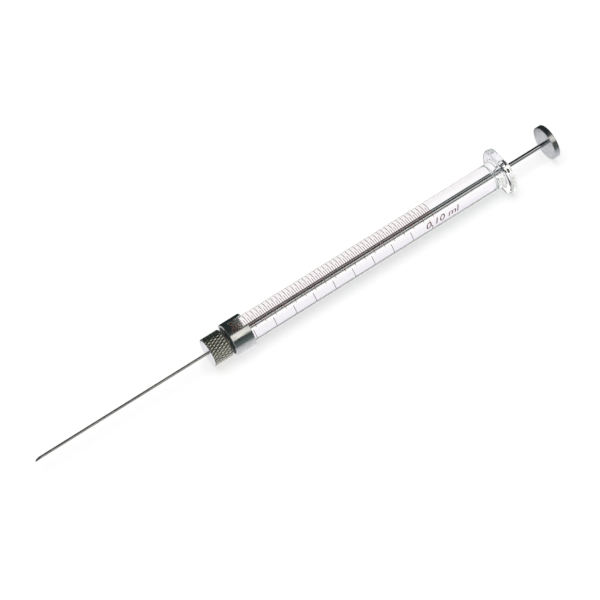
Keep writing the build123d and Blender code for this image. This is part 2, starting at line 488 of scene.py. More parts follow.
TUBE_GLASS = BorosilicateGlass("borosilicate_glass", Slot.GLASS)
SCALE_INK = FiredInk("fired_ink", Slot.INK)
NICKEL_PLATE = CementedPlate("bright_nickel_plate", Slot.NICKEL)
NICKEL_KNURL = KnurledMetal("knurled_nickel_plate", Slot.KNURL, shade="e2dfd4", roughness=0.25)
THREAD_NICKEL = TurnedMetal(
    "thread_nickel_plate", Slot.NICKEL, shade="d0d0cc", worn="bcbab4", roughness=0.4
)
SATIN_STEEL = TurnedMetal(
    "satin_turned_steel", Slot.STAINLESS, shade="c3c3c6", worn="b2b3b8", roughness=0.26, ring=0.09
)
ROD_STEEL = DrawnMetal(
    "drawn_stainless_rod", Slot.STAINLESS, shade="bcbdc4", worn="abadb3", roughness=0.08, ring=0.05
)
NEEDLE_STEEL = DrawnMetal(
    "drawn_stainless_tube", Slot.STAINLESS, shade="cccbc9", worn="b8b6b4", roughness=0.42, ring=0.04
)
PTFE = Fluoropolymer("white_ptfe", Slot.PTFE)


# ---- mesh making ----


class Outline:
    """A closed outline of a turned piece, drawn corner by corner with rounded corners."""

    SUPPORT = 0.12  # distance of a support point from the end of its run
    LONG = 1.0  # runs longer than this get support points

    def __init__(self) -> None:
        """Start with no points."""
        self.corners: list[tuple[float, float, float]] = []

    def to(self, station: float, radius: float, rounding: float = 0.0) -> "Outline":
        """Add a corner, rounded by an arc unless rounding is 0, and return the outline."""
        self.corners.append((station, radius, rounding))
        return self

    def points(self, steps: int = 5) -> list[Point]:
        """The outline's points, with arcs in the corners and support points on long runs.

        Args:
            steps: number of chords in each rounded corner.

        Returns:
            The points in order, the last joined to the first.
        """
        made: list[Vector] = []
        count = len(self.corners)
        for index, (station, radius, rounding) in enumerate(self.corners):
            corner = Vector((station, radius))
            if rounding <= 0:
                made.append(corner)
                continue
            before = (Vector(self.corners[index - 1][:2]) - corner).normalized()
            after = (Vector(self.corners[(index + 1) % count][:2]) - corner).normalized()
            half = before.angle(after) / 2
            centre = corner + (before + after).normalized() * (rounding / math.sin(half))
            first, last = (corner + side * (rounding / math.tan(half)) - centre for side in (before, after))
            turn = -first.angle_signed(last) / steps
            made.extend(centre + Matrix.Rotation(turn * step, 2) @ first for step in range(steps + 1))
        return self._supported(made)

    def _supported(self, points: Sequence[Vector]) -> list[Point]:
        """Add a point near each end of every long run, so that shading doesn't drift along it.

        Args:
            points: the outline with its arcs.

        Returns:
            The stations and radii, with the added points.
        """
        made: list[Point] = []
        for index, point in enumerate(points):
            made.append((point.x, point.y))
            following = points[(index + 1) % len(points)]
            run = following - point
            if run.length > self.LONG:
                inset = run.normalized() * self.SUPPORT
                made.extend([(point + inset)[:], (following - inset)[:]])
        return made


SHARP = math.radians(35)  # faces that meet at more than this angle keep a hard edge between them


def lathe(points: Iterable[Point], segments: int = 192, warp: Warp | None = None) -> Mesh:
    """Turn a closed outline about the axis.

    Args:
        points: (station, radius) points; a radius of 0 makes a pole.
        segments: number of steps round the axis.
        warp: changes a point's radius, given its station, radius and angle from straight up.

    Returns:
        A closed mesh in millimetres with outward normals.
    """
    shape = bmesh.new()
    rings: list[list[bmesh.types.BMVert]] = []
    for station, radius in points:
        if radius < 1e-6:
            rings.append([shape.verts.new((station, 0.0, 0.0))])
            continue
        ring = []
        for step in range(segments):
            angle = math.tau * step / segments
            reach = warp(station, radius, angle) if warp else radius
            ring.append(shape.verts.new((station, reach * math.sin(angle), reach * math.cos(angle))))
        rings.append(ring)
    for index, ring in enumerate(rings):
        following = rings[(index + 1) % len(rings)]
        for step in range(segments):
            corners = [ring[step % len(ring)], ring[(step + 1) % segments % len(ring)]]
            corners += [following[(step + 1) % segments % len(following)], following[step % len(following)]]
            distinct = list(dict.fromkeys(corners))
            if len(distinct) > 2:
                shape.faces.new(distinct)
    return sealed(shape)


def meshed(shape: bmesh.types.BMesh, name: str = "made") -> Mesh:
    """A bmesh as a mesh; the bmesh is freed.

    Args:
        shape: the bmesh.
        name: the mesh's name.

    Returns:
        The mesh.
    """
    mesh = bpy.data.meshes.new(name)
    shape.to_mesh(mesh)
    shape.free()
    return mesh


def sealed(shape: bmesh.types.BMesh) -> Mesh:
    """A bmesh as a mesh with merged doubles and outward normals; the bmesh is freed.

    Args:
        shape: the bmesh.

    Returns:
        The mesh.
    """
    bmesh.ops.remove_doubles(shape, verts=shape.verts, dist=1e-6)
    bmesh.ops.recalc_face_normals(shape, faces=shape.faces)
    return meshed(shape)


def joined(meshes: Iterable[Mesh]) -> Mesh:
    """Several meshes as one; the originals are removed.

    Args:
        meshes: the meshes to join.

    Returns:
        The one mesh.
    """
    shape = bmesh.new()
    for mesh in meshes:
        shape.from_mesh(mesh)
        bpy.data.meshes.remove(mesh)
    return meshed(shape)


def placed(name: str, data: Any) -> bpy.types.Object:
    """A new object in the scene.

    Args:
        name: the object's name.
        data: its mesh, curve, light or camera.

    Returns:
        The object.
    """
    made = bpy.data.objects.new(name, data)
    bpy.context.scene.collection.objects.link(made)
    return made


def extent(verts: Iterable[Any], axis: Vector) -> Point:
    """How far vertices reach along an axis, lowest and highest."""
    reach = [vert.co.dot(axis) for vert in verts]
    return min(reach), max(reach)


def prism(outline: Sequence[Vector], push: Vector) -> Mesh:
    """A prism between an outline and the same outline pushed along a vector.

    Args:
        outline: corners of one end, in order.
        push: from one end to the other.

    Returns:
        The closed mesh.
    """
    shape = bmesh.new()
    near = [shape.verts.new(point) for point in outline]
    far = [shape.verts.new(Vector(point) + push) for point in outline]
    shape.faces.new(near)
    shape.faces.new(far)
    for index in range(len(outline)):
        following = (index + 1) % len(outline)
        shape.faces.new((near[index], near[following], far[following], far[index]))
    return sealed(shape)


def baked(holder: bpy.types.Object) -> Mesh:
    """The evaluated result of an object's modifiers as a plain mesh; the object is removed.

    Args:
        holder: the object with the modifiers.

    Returns:
        The mesh.
    """
    graph = bpy.context.evaluated_depsgraph_get()
    mesh = bpy.data.meshes.new_from_object(holder.evaluated_get(graph))
    bpy.data.objects.remove(holder)
    return mesh


def cut(mesh: Mesh, waste: Mesh, edge: float) -> Mesh:
    """Cut one mesh out of another and break the new edges.

    Args:
        mesh: the work piece.
        waste: the closed mesh to take away.
        edge: width of the broken edges.

    Returns:
        The new mesh.
    """
    holder, tool = placed("work", mesh), placed("waste", waste)
    boolean = holder.modifiers.new("cut", "BOOLEAN")
    boolean.operation = "DIFFERENCE"
    boolean.solver = "EXACT"
    boolean.object = tool
    bevel = holder.modifiers.new("edge", "BEVEL")
    bevel.limit_method = "ANGLE"
    bevel.angle_limit = math.radians(40)
    bevel.width = edge
    bevel.segments = 2
    result = baked(holder)
    bpy.data.objects.remove(tool)
    return result


def grown(tree: Tree, values: dict[str, Any], mesh: Mesh | None = None) -> Mesh:
    """Run a Geometry Nodes tree and keep its result.

    Args:
        tree: the tree.
        values: its inputs by name.
        mesh: the mesh that it works on, if any.

    Returns:
        The result as a plain mesh.
    """
    holder = placed("grown", mesh or bpy.data.meshes.new("empty"))
    modifier = holder.modifiers.new(tree.name, "NODES")
    modifier.node_group = tree
    identifiers = {item.name: item.identifier for item in tree.interface.items_tree if item.in_out == "INPUT"}
    for name, value in values.items():
        modifier[identifiers[name]] = value
    return baked(holder)


def finish_piece(name: str, mesh: Mesh, body: Body, finish: Finish, *nodes: str) -> None:
    """Place a mesh in the frame as a finished piece.

    Args:
        name: the piece's name.
        mesh: its mesh, in millimetres about the axis.
        body: the body that it rides on.
        finish: its finish, which knows its material slot.
        *nodes: the CAD nodes that it stands for.
    """
    mesh.transform(DATUM.matrix())
    mesh.shade_smooth()
    mesh.set_sharp_from_angle(angle=SHARP)
    mesh.materials.clear()
    mesh.materials.append(finish.material())
    mesh.name = name
    piece = placed(name, mesh)
    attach(piece, body.value)
    if nodes:
        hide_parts(*nodes)
    LOG.info("%s rides on %s: %d faces", name, body.value, len(mesh.polygons))


class Recipe:
    """A Geometry Nodes tree under construction, with its named inputs."""

    def __init__(self, name: str, values: dict[str, Any], blank: bool = False) -> None:
        """Start a tree.

        Args:
            name: the tree's name.
            values: what the tree will be run with; their types set those of its inputs.
            blank: whether it works on a mesh, which is then its Blank input.
        """
        self.tree = bpy.data.node_groups.new(name, "GeometryNodeTree")
        self.sheet = Sheet(self.tree)
        sockets = [("Geometry", "OUTPUT", "Geometry")] + [("Blank", "INPUT", "Geometry")] * blank
        sockets += [(label, "INPUT", type(value).__name__.title()) for label, value in values.items()]
        for label, side, kind in sockets:
            self.tree.interface.new_socket(name=label, in_out=side, socket_type="NodeSocket" + kind)
        self.given = self.sheet.node("NodeGroupInput").outputs

    def polar(self, station: Any, radius: Any, angle: Any) -> Socket:
        """A place given by its station, radius and angle from straight up.

        Args:
            station: place along the axis.
            radius: distance from the axis.
            angle: turn from straight up, in radians.

        Returns:
            The socket that carries the place.
        """
        calc = self.sheet.calc
        across = calc("MULTIPLY", radius, calc("SINE", angle))
        upwards = calc("MULTIPLY", radius, calc("COSINE", angle))
        return self.sheet.out("ShaderNodeCombineXYZ", {0: station, 1: across, 2: upwards})

    def noted(self, geometry: Socket, name: str, value: Socket, kind: str) -> Socket:
        """Geometry with a named attribute on its points."""
        inputs = {"Geometry": geometry, "Name": name, "Value": value}
        return self.sheet.out("GeometryNodeStoreNamedAttribute", inputs, data_type=kind, domain="POINT")

    def moved(self, geometry: Socket, place: Socket) -> Tree:
        """End the tree with geometry whose points go to a new place."""
        inputs = {"Geometry": geometry, "Position": place}
        return self.close(self.sheet.out("GeometryNodeSetPosition", inputs))

    def close(self, geometry: Socket) -> Tree:
        """End the tree: real geometry, with the material of its Material input.

        Args:
            geometry: what the tree has made.

        Returns:
            The finished tree.
        """
        realized = self.sheet.out("GeometryNodeRealizeInstances", {"Geometry": geometry})
        inputs = {"Geometry": realized, "Material": self.given["Material"]}
        self.sheet.node("NodeGroupOutput", {0: self.sheet.out("GeometryNodeSetMaterial", inputs)})
        return self.tree


# ---- the barrel ----


@dataclass
class GlassTube:
    """Thick-walled precision tube with an anti-roll flange, in millimetres."""

    bore_diameter: float = 1.457
    tube_diameter: float = 7.3
    flange_thickness: float = 2.15
    across_flats: float = 10.2
    end_edge: float = 0.15
    rim_rounding: float = 0.8
    flare_length: float = 2.4
    flare_height: float = 0.9
    flare_steps: int = 12
    lead_in_diameter: float = 3.0
    lead_in_depth: float = 2.6
    flat_softness: float = 0.35

    def flange_reach(self, angle: float, rim: float) -> float:
        """Distance from the axis to the flange's rim: round, with a flat above and below.

        Args:
            angle: angle from straight up.
            rim: radius of the round part.

        Returns:
            The smaller of the round and the flat distance, blended at the corner.
        """
        flat = self.across_flats / 2 / max(abs(math.cos(angle)), 0.05)
        nearness = max(self.flat_softness - abs(rim - flat), 0.0) / self.flat_softness
        return min(rim, flat) - nearness**2 * self.flat_softness / 4

    def outline(self, length: float, rim: float) -> list[Point]:
        """The tube's outline, from the front end round the flange and back along the bore.

        Args:
            length: station of the tube's back end.
            rim: radius of the flange at this angle.

        Returns:
            The stations and radii, in order.
        """
        tube, bore = self.tube_diameter / 2, self.bore_diameter / 2
        flange = length - self.flange_thickness
        shape = Outline()
        shape.to(0.0, bore, 0.02).to(0.0, tube - self.end_edge, 0.05).to(self.end_edge, tube, 0.1)
        for step in range(self.flare_steps + 1):
            turn = math.radians(90 * step / self.flare_steps)
            shape.to(
                flange - self.flare_length + self.flare_length * math.sin(turn),
                tube + self.flare_height * (1 - math.cos(turn)),
            )
        shape.to(flange, rim, self.rim_rounding).to(length, rim, self.rim_rounding)
        shape.to(length, self.lead_in_diameter / 2, 0.25).to(length - self.lead_in_depth, bore, 0.6)
        return shape.points(6)

    def build(self) -> None:
        """Make the tube."""
        span = Span.of("glass_barrel")
        tube = self.tube_diameter / 2

        def warp(station: float, radius: float, angle: float) -> float:
            """Pull the flange in to its flats, and leave the tube round."""
            share = max(radius - tube, 0.0) / (span.radius - tube)
            return radius - share * (span.radius - self.flange_reach(angle, span.radius))

        mesh = lathe(self.outline(span.end, span.radius), 256, warp)
        finish_piece("barrel_tube", mesh, Body.BARREL, TUBE_GLASS, "glass_barrel")


@dataclass
class PrintedScale:
    """Graduations, numbers and capacity, printed on the tube, in millimetres and degrees."""

    divisions: int = 100
    division_length: float = 0.6
    line_width: float = 0.14
    thickness: float = 0.012
    lift: float = 0.005
    start: float = -27.0
    long_start: float = -49.0
    short_end: float = 4.0
    medium_end: float = 36.0
    dash_start: float = 149.0
    dash_end: float = 165.0
    steps: int = 17
    capacity_words: str = "0.10 ml"
    capacity_height: float = 1.65
    capacity_length: float = 10.3
    capacity_slant: float = 0.28
    capacity_station: float = 57.1
    capacity_base: float = -83.0
    number_height: float = 1.15
    number_angle: float = 112.0
    capital_share: float = 0.7
    strips: int = 10

    def recipe(self, values: dict[str, Any]) -> Tree:
        """Lines round the tube: one box for each division, bent and stretched to its length.

        Args:
            values: the tree's inputs by name, with their values.

        Returns:
            The Geometry Nodes tree.
        """
        recipe = Recipe("graduation_lines", values)
        sheet, given, calc = recipe.sheet, recipe.given, recipe.sheet.calc

        points = sheet.out("GeometryNodeMeshLine", {"Count": given["Divisions"], "Offset": (0.0, 0.0, 1.0)})
        number = calc("ADD", sheet.out("GeometryNodeInputIndex"), 1.0)
        numbered = recipe.noted(points, "division", number, "FLOAT")
        cube = sheet.out("GeometryNodeMeshCube", {"Vertices Y": given["Steps"]})
        unit_box = recipe.noted(cube, "unit", sheet.out("GeometryNodeInputPosition"), "FLOAT_VECTOR")
        lines = sheet.out("GeometryNodeInstanceOnPoints", {"Points": numbered, "Instance": unit_box})
        real = sheet.out("GeometryNodeRealizeInstances", {"Geometry": lines})

        division = sheet.out("GeometryNodeInputNamedAttribute", {"Name": "division"}, data_type="FLOAT")
        unit = sheet.out("GeometryNodeInputNamedAttribute", {"Name": "unit"}, data_type="FLOAT_VECTOR")
        along, around, out = sheet.split(unit)

        def every(step: float) -> Socket:
            """One where the division is a multiple of the step."""
            return calc("LESS_THAN", calc("MODULO", calc("ADD", division, 0.25), step), 0.5)

        first = sheet.blend(every(5.0), given["Start"], given["Long Start"])
        last = sheet.blend(every(2.0), given["Short End"], given["Medium End"])
        angle = calc("RADIANS", sheet.blend(calc("ADD", around, 0.5), first, last))
        depth = calc("MULTIPLY", calc("ADD", out, 0.5), given["Thickness"])
        middle = calc("MULTIPLY", division, given["Spacing"])
        station = calc("ADD", middle, calc("MULTIPLY", along, given["Width"]))
        return recipe.moved(real, recipe.polar(station, calc("ADD", given["Radius"], depth), angle))

    def words(self, text: str, height: float, slant: float = 0.0) -> Mesh:
        """Raised words, flat, in millimetres.

        Args:
            text: the words.
            height: height of a capital letter.
            slant: shear of the letters.

        Returns:
            A mesh whose base line is the X axis.
        """
        curve = bpy.data.curves.new("words", "FONT")
        curve.body = text
        curve.size = height / self.capital_share
        curve.shear = slant
        curve.extrude = self.thickness / 2
        curve.resolution_u = 4
        mesh = baked(placed("words", curve))
        bpy.data.curves.remove(curve)
        return mesh

    def wrapped(self, mesh: Mesh, radius: float, place: Callable[[Vector], Point]) -> Mesh:
        """Bend flat words round the tube.

        Args:
            mesh: the words.
            radius: radius of the ink's inner face.
            place: gives the station and the distance round the tube of a point of the words.

        Returns:
            The bent mesh.
        """
        shape = bmesh.new()
        shape.from_mesh(mesh)
        for normal in (Vector((0, 1, 0)), Vector((1, 0, 0))):
            low, high = extent(shape.verts, normal)
            for strip in range(1, self.strips):
                point = normal * (low + (high - low) * strip / self.strips)
                everything = shape.verts[:] + shape.edges[:] + shape.faces[:]
                bmesh.ops.bisect_plane(shape, geom=everything, plane_co=point, plane_no=normal)
        for vert in shape.verts:
            station, arc = place(vert.co)
            reach = radius + self.thickness / 2 + vert.co.z
            vert.co = (station, reach * math.sin(arc / radius), reach * math.cos(arc / radius))
        return sealed(shape)

    def capacity(self, radius: float) -> Mesh:
        """The capacity in words, along the tube.

        Args:
            radius: radius of the glass.

        Returns:
            The wrapped letters.
        """
        mesh = self.words(self.capacity_words, self.capacity_height, self.capacity_slant)
        left, right = extent(mesh.vertices, Vector((1, 0, 0)))
        stretch = self.capacity_length / (right - left)
        base = math.radians(self.capacity_base) * radius

        def place(point: Vector) -> Point:
            """Letters read towards the button, with their feet away from the scale."""
            return self.capacity_station + (point.x - left) * stretch, base + point.y

        return self.wrapped(mesh, radius, place)

    def numbers(self, radius: float, spacing: float) -> list[Mesh]:
        """The number of each tenth line, on the far side, upright when the needle points down.

        Args:
            radius: radius of the glass.
            spacing: length of a division.

        Returns:
            One mesh for each number.
        """
        made = []
        for division in range(10, self.divisions + 1, 10):
            mesh = self.words(str(division), self.number_height)
            middle = sum(vert.co.x for vert in mesh.vertices) / len(mesh.vertices)
            base = division * spacing + self.line_width * 2
            turn = math.radians(self.number_angle) * radius

            def place(point: Vector, base: float = base, middle: float = middle, turn: float = turn) -> Point:
                """Figures stand on their line and read towards the scale."""
                return base + point.y, turn - (point.x - middle)

            made.append(self.wrapped(mesh, radius, place))
        return made

    def build(self) -> None:
        """Make the lines, the numbers and the capacity."""
        tube = GlassTube().tube_diameter / 2
        spacing = Span.of("scale_marks").end / (self.divisions + self.line_width / 2 / self.division_length)
        inner = tube + self.lift
        values = {
            "Divisions": self.divisions, "Steps": self.steps, "Spacing": spacing, "Radius": inner,
            "Width": self.line_width, "Thickness": self.thickness, "Start": self.start,
            "Long Start": self.long_start, "Short End": self.short_end, "Medium End": self.medium_end,
            "Material": SCALE_INK.material(),
        }
        tenth = {"Divisions": self.divisions // 10, "Spacing": spacing * 10}
        tenth |= dict.fromkeys(("Start", "Long Start"), self.dash_start)
        tenth |= dict.fromkeys(("Short End", "Medium End"), self.dash_end)
        recipe = self.recipe(values)
        lines = joined([grown(recipe, values), grown(recipe, values | tenth)])
        finish_piece("scale_lines", lines, Body.BARREL, SCALE_INK, "scale_marks")
        finish_piece("capacity_words", self.capacity(inner), Body.BARREL, SCALE_INK)
        finish_piece("scale_numbers", joined(self.numbers(inner, spacing)), Body.BARREL, SCALE_INK)


@dataclass
class Ferrule:
    """Plated end fitting of the barrel, with a viewing slot and a threaded nose, in millimetres."""

    sleeve_bore: float = 7.46
    shoulder: float = 1.2
    nose_diameter: float = 5.6
    thread_pitch: float = 0.5
    thread_height: float = 0.27
    thread_steps: int = 48
    nose_lead: float = 0.3
    seal_bore: float = 3.2
    slot_width: float = 3.6
    slot_start: float = 0.35
    slot_corner: float = 0.3
    corner_steps: int = 6
    slot_edge: float = 0.05
    slot_floor: float = 1.457
    edge: float = 0.12

    def body(self, span: Span) -> Mesh:
        """The turned body, before its thread, with the slot cut through the sleeve.

        Args:
            span: where the fitting lies, and its radius.

        Returns:
            The finished body.
        """
        face, nose = -self.shoulder, self.nose_diameter / 2 - self.thread_height
        shape = Outline()
        shape.to(span.start, self.seal_bore / 2, 0.05)
        shape.to(span.start, nose - self.nose_lead / 2, 0.05).to(span.start + self.nose_lead, nose)
        shape.to(face, nose).to(face, span.radius, self.edge).to(span.end, span.radius, self.edge)
        shape.to(span.end, self.sleeve_bore / 2, 0.04).to(0.0, self.sleeve_bore / 2)
        shape.to(0.0, self.seal_bore / 2)
        return cut(lathe(shape.points(5)), self.slot_waste(span), self.slot_edge)

    def slot_waste(self, span: Span) -> Mesh:
        """What the slot takes away: open at the sleeve's mouth, with rounded corners.

        Args:
            span: where the fitting lies, and its radius.

        Returns:
            The closed mesh to take away.
        """
        half, corner = self.slot_width / 2, self.slot_corner
        outline = [Vector((span.end + 1.0, side * half, self.slot_floor)) for side in (1, -1)]
        for side in (-1, 1):
            centre = Vector((self.slot_start + corner, side * (half - corner), self.slot_floor))
            for step in range(self.corner_steps + 1):
                turn = math.radians(90 * step / self.corner_steps)
                spoke = (math.sin(turn), math.cos(turn)) if side < 0 else (math.cos(turn), math.sin(turn))
                outline.append(centre + Vector((-spoke[0] * corner, side * spoke[1] * corner, 0.0)))
        return prism(outline, Vector((0.0, 0.0, span.radius)))

    def thread_recipe(self, values: dict[str, Any]) -> Tree:
        """A ridge that climbs round the nose: a diamond carried along a helix.

        Args:
            values: the tree's inputs by name, with their values.

        Returns:
            The Geometry Nodes tree.
        """
        recipe = Recipe("nose_thread", values)
        sheet, given = recipe.sheet, recipe.given
        sizes = {"Resolution": given["Resolution"], "Rotations": given["Turns"], "Height": given["Length"]}
        sizes |= dict.fromkeys(("Start Radius", "End Radius"), given["Radius"])
        helix = sheet.out("GeometryNodeCurveSpiral", sizes)
        upright = sheet.out("GeometryNodeSetCurveNormal", {"Curve": helix}, mode="Z_UP")
        square = {"Resolution": 4, "Radius": given["Height"]}
        diamond = sheet.out("GeometryNodeCurvePrimitiveCircle", square)
        inputs = {"Curve": upright, "Profile Curve": diamond, "Fill Caps": True}
        ridge = sheet.out("GeometryNodeCurveToMesh", inputs)
        start = sheet.out("ShaderNodeCombineXYZ", {0: given["Start"]})
        inputs = {"Geometry": ridge, "Translation": start, "Rotation": (0.0, math.radians(90), 0.0)}
        return recipe.close(sheet.out("GeometryNodeTransform", inputs))

    def build(self) -> None:
        """Make the body and its thread."""
        span = Span.of("barrel_ferrule")
        finish_piece("ferrule_body", self.body(span), Body.BARREL, NICKEL_PLATE, "barrel_ferrule")
        start = span.start + self.nose_lead + self.thread_height
        length = -self.shoulder - self.thread_height - start
        values = {
            "Radius": self.nose_diameter / 2 - self.thread_height, "Length": length,
            "Turns": length / self.thread_pitch, "Height": self.thread_height, "Start": start,
            "Resolution": self.thread_steps, "Material": THREAD_NICKEL.material(),
        }
        thread = grown(self.thread_recipe(values), values)
        finish_piece("ferrule_thread", thread, Body.BARREL, THREAD_NICKEL)


# ---- the needle and its nut ----


@dataclass
class KnurledNut:
    """Nut that holds the needle, with a diamond knurl, in millimetres and degrees."""

    hole_diameter: float = 1.1
    thread_bore: float = 5.7
    face_wall: float = 1.2
    chamfer: float = 0.18
    starts: int = 27
    helix_angle: float = 26.0
    depth: float = 0.19
    flat_share: float = 0.6
    cross_lift: float = 0.1
    softness: float = 0.06
    steps_per_pitch: int = 12
    rim: float = 0.55

    def recipe(self, values: dict[str, Any]) -> Tree:
        """Two families of helical grooves pressed into a turned blank, one a little deeper.

        Args:
            values: the tree's inputs by name, with their values.

        Returns:
            The Geometry Nodes tree.
        """
        recipe = Recipe("diamond_knurl", values, blank=True)
        sheet, given, calc = recipe.sheet, recipe.given, recipe.sheet.calc
        station, across, upwards = sheet.split(sheet.out("GeometryNodeInputPosition"))
        squares = (calc("MULTIPLY", side, side) for side in (across, upwards))
        radius = calc("SQRT", calc("ADD", *squares))
        angle = calc("ARCTAN2", across, upwards)
        around = calc("MULTIPLY", calc("DIVIDE", angle, math.tau), given["Starts"])
        along = calc("DIVIDE", station, given["Pitch"])

        def ridge(phase: Socket) -> Socket:
            """Zero in a groove, one halfway to the next."""
            swing = calc("SUBTRACT", calc("MULTIPLY", calc("FRACT", phase), 2.0), 1.0)
            return calc("SUBTRACT", 1.0, calc("ABSOLUTE", swing))

        cross = calc("ADD", ridge(calc("ADD", around, along)), given["Cross Lift"])
        peak = calc("SMOOTH_MIN", cross, ridge(calc("SUBTRACT", around, along)), given["Softness"])
        flat = calc("SMOOTH_MIN", peak, given["Flat Share"], given["Softness"])
        sunk = calc("SUBTRACT", 1.0, calc("DIVIDE", flat, given["Flat Share"]))
        surface = calc("SUBTRACT", given["Radius"], calc("MULTIPLY", given["Depth"], sunk))
        reach = calc("MINIMUM", radius, surface)
        return recipe.moved(given["Blank"], recipe.polar(station, reach, angle))

    def blank(self, span: Span, pitch: float) -> Mesh:
        """The turned blank, with many rings where the knurl goes.

        Args:
            span: where the nut lies, and its radius.
            pitch: length of a turn of a groove divided by the starts.

        Returns:
            The blank.
        """
        seat, edge = span.start + self.face_wall, span.radius - self.chamfer
        shape = Outline()
        shape.to(span.end, self.thread_bore / 2, 0.1).to(seat, self.thread_bore / 2)
        shape.to(seat, self.hole_diameter / 2).to(span.start, self.hole_diameter / 2, 0.05)
        shape.to(span.start, span.radius - self.rim).to(span.start, edge, 0.03)
        first, last = span.start + self.chamfer, span.end - self.chamfer
        rings = math.ceil((last - first) / pitch * self.steps_per_pitch)
        for ring in range(rings + 1):
            shape.to(first + (last - first) * ring / rings, span.radius)
        shape.to(span.end, edge, 0.03).to(span.end, span.radius - self.rim)
        return lathe(shape.points(3), self.starts * self.steps_per_pitch)

    def build(self) -> None:
        """Make the nut."""
        span = Span.of("needle_nut")
        pitch = math.pi * 2 * span.radius / self.starts / math.tan(math.radians(self.helix_angle))
        values = {
            "Radius": span.radius, "Pitch": pitch, "Starts": float(self.starts), "Depth": self.depth,
            "Flat Share": self.flat_share, "Cross Lift": self.cross_lift, "Softness": self.softness,
            "Material": NICKEL_KNURL.material(),
        }
        mesh = grown(self.recipe(values), values, self.blank(span, pitch))
        finish_piece("nut_body", mesh, Body.NUT, NICKEL_KNURL, "needle_nut")


@dataclass
class Needle:
    """Cannula with its hub and seal, in millimetres and degrees."""

    bore_diameter: float = 0.168
    bevel_angle: float = 20.0
    bevel_edge: float = 0.012
    hub_collar: float = 0.5
    shank_radius: float = 1.57

    def cannula(self) -> Mesh:
        """The tube, with its bevelled point.

        Returns:
            The tube.
        """
        span = Span.of("needle_tube")
        bore = self.bore_diameter / 2
        shape = Outline().to(span.start, bore).to(span.start, span.radius)
        shape.to(span.end, span.radius, 0.02).to(span.end, bore)
        rise = math.tan(math.radians(self.bevel_angle))
        reach = 2 * span.radius / rise
        top = span.radius + reach * rise
        corners = ((span.start - reach, -top), (span.start + 2 * reach, top), (span.start - reach, top))
        waste = prism([Vector((station, -1.0, height)) for station, height in corners], Vector((0, 2, 0)))
        return cut(lathe(shape.points(3), 64), waste, self.bevel_edge)

    def hub(self) -> Mesh:
        """The metal bush, with the collar that the nut presses.

        Returns:
            The bush.
        """
        span, tube = Span.of("needle_hub"), Span.of("needle_tube")
        back = span.start + self.hub_collar
        shape = Outline().to(span.start, tube.radius).to(span.start, span.radius, 0.1)
        shape.to(back, span.radius, 0.1)
        shape.to(back, self.shank_radius).to(span.end, self.shank_radius, 0.08).to(span.end, tube.radius)
        return lathe(shape.points(4), 96)

    def seal(self) -> Mesh:
        """The soft sleeve that meets the glass.

        Returns:
            The sleeve.
        """
        span, tube = Span.of("needle_seal"), Span.of("needle_tube")
        shape = Outline().to(span.start, tube.radius).to(span.start, span.radius, 0.12)
        shape.to(span.end, span.radius, 0.12).to(span.end, tube.radius)
        return lathe(shape.points(4), 96)

    def build(self) -> None:
        """Make the cannula, the hub and the seal."""
        finish_piece("cannula", self.cannula(), Body.NEEDLE, NEEDLE_STEEL, "needle_tube")
        finish_piece("hub_bush", self.hub(), Body.NEEDLE, SATIN_STEEL, "needle_hub")
        finish_piece("seal_sleeve", self.seal(), Body.NEEDLE, PTFE, "needle_seal")


# ---- the plunger ----


@dataclass
class Plunger:
    """Rod, tip and button, in millimetres."""

    stem_radius: float = 0.35
    stem_length: float = 3.0
    barb: float = 0.08
    ring_width: float = 0.7
    ring_slope: float = 0.1
    waist: float = 0.03
    button_edge: float = 0.15
    socket: float = 1.1

    def rod(self, span: Span, tip: Span) -> Mesh:
        """The rod, with its barbed stem.

        Args:
            span: where the rod lies, and its radius.
            tip: where the piston lies.

        Returns:
            The rod.
        """
        barb = span.start + self.stem_length / 3
        shape = Outline().to(span.start, 0.0).to(span.start, self.stem_radius, 0.03)
        shape.to(barb, self.stem_radius + self.barb).to(barb, self.stem_radius).to(tip.end, self.stem_radius)
        shape.to(tip.end, span.radius, 0.05).to(span.end, span.radius).to(span.end, 0.0)
        return lathe(shape.points(3), 96)

    def tip(self, span: Span, rod: Span) -> Mesh:
        """The soft piston: a sealing ring at each end and a waist between them, moulded on the stem.

        Args:
            span: where the piston lies, and its radius.
            rod: where the rod lies.

        Returns:
            The piston.
        """
        front, back = span.start + self.ring_width, span.end - self.ring_width
        waist = span.radius - self.waist
        barb = rod.start + self.stem_length / 3
        shape = Outline().to(span.start, 0.0).to(span.start, span.radius, 0.06).to(front, span.radius, 0.05)
        shape.to(front + self.ring_slope, waist, 0.05).to(back - self.ring_slope, waist, 0.05)
        shape.to(back, span.radius, 0.05).to(span.end, span.radius, 0.06).to(span.end, self.stem_radius)
        shape.to(barb, self.stem_radius).to(barb, self.stem_radius + self.barb)
        shape.to(rod.start, self.stem_radius).to(rod.start, 0.0)
        return lathe(shape.points(4), 96)

    def button(self, span: Span, rod: Span) -> Mesh:
        """The flat disc with a socket for the rod.

        Args:
            span: where the disc lies, and its radius.
            rod: where the rod lies, and its radius.

        Returns:
            The disc.
        """
        socket = span.start + self.socket
        shape = Outline().to(socket, 0.0).to(socket, rod.radius).to(span.start, rod.radius, 0.04)
        shape.to(span.start, span.radius, self.button_edge).to(span.end, span.radius, self.button_edge)
        shape.to(span.end, 0.0)
        return lathe(shape.points(5), 256)

    def build(self) -> None:
        """Make the rod, the tip and the button."""
        rod, tip, button = Span.of("plunger_rod"), Span.of("plunger_tip"), Span.of("plunger_button")
        finish_piece("plunger_wire", self.rod(rod, tip), Body.PLUNGER, ROD_STEEL, "plunger_rod")
        finish_piece("piston", self.tip(tip, rod), Body.PLUNGER, PTFE, "plunger_tip")
        finish_piece("thumb_button", self.button(button, rod), Body.PLUNGER, SATIN_STEEL, "plunger_button")


# ---- the studio ----


